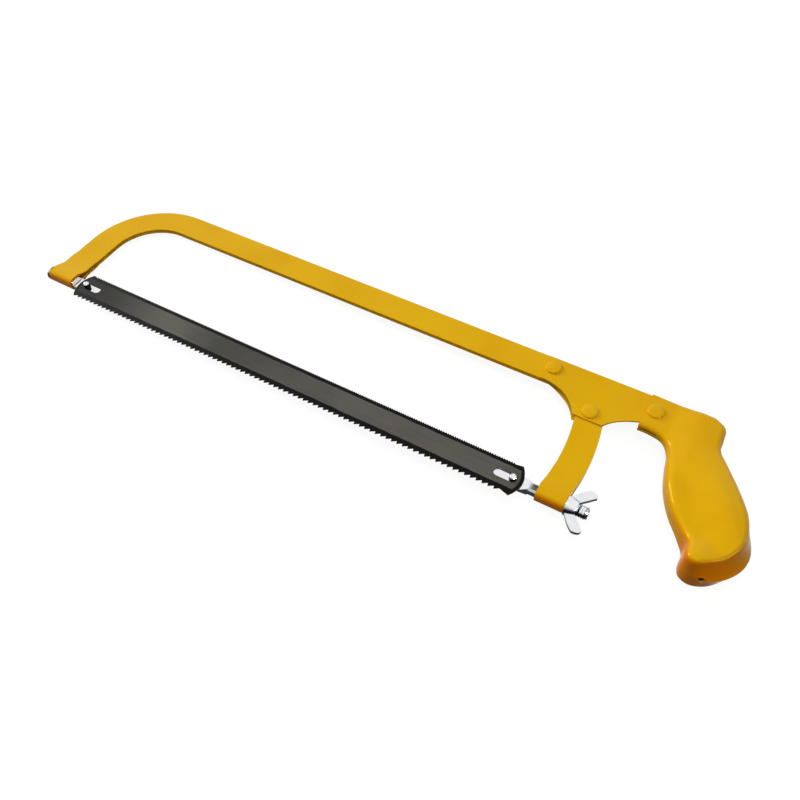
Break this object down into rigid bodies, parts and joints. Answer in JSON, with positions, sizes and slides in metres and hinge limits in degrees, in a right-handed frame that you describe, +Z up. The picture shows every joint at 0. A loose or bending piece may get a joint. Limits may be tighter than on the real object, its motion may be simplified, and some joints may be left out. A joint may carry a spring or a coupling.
{
  "type": "hacksaw frame",
  "caption": "Pressed-steel hacksaw frame with a pistol grip and a double-edged blade hooked on two pins and drawn tight by a wing nut.",
  "frame": {"origin": "centre of the footprint's bounding box, on the surface that the saw lies on", "axes": "+X along the blade from the front anchor to the grip, +Y from the blade to the backbone, +Z up out of the saw's plane"},
  "size_m": [0.4474, 0.1008, 0.0247],
  "materials": {
    "yellow_paint": "gloss enamel",
    "bright_chrome": "bright nickel or zinc plate",
    "blade_steel": "oiled dark steel"
  },
  "bodies": {
    "frame": {"bow": "yellow_paint", "rear_arm": "yellow_paint", "gusset_left_plate": "yellow_paint", "gusset_right_plate": "yellow_paint", "handle_left_shell": "yellow_paint", "handle_right_shell": "yellow_paint", "bow_rivet": "yellow_paint", "arm_rivet": "yellow_paint", "handle_rivet": "yellow_paint", "front_anchor": "bright_chrome", "front_blade_pin": "bright_chrome"},
    "nut": {"wing_nut": "bright_chrome"},
    "stud": {"tension_stud": "bright_chrome", "rear_blade_pin": "bright_chrome"},
    "loose_blade": {"blade": "blade_steel"}
  },
  "joints": [
    {"name": "wing_nut_turn", "type": "hinge", "parent": "frame", "child": "nut", "pos_m": [0.1385, -0.03717, 0.01238], "axis": [1, 0, 0], "range_deg": [0, 1080]},
    {"name": "stud_slide", "type": "slide", "parent": "frame", "child": "stud", "axis": [-1, 0, 0], "range_m": [0, 0.003]},
    {"name": "blade_lift", "type": "slide", "parent": "stud", "child": "loose_blade", "axis": [0, 0, 1], "range_m": [0, 0.014]}
  ],
  "couplings": [
    {"joint": "wing_nut_turn", "follows": "stud_slide", "rad_per_m": 6283}
  ]
}
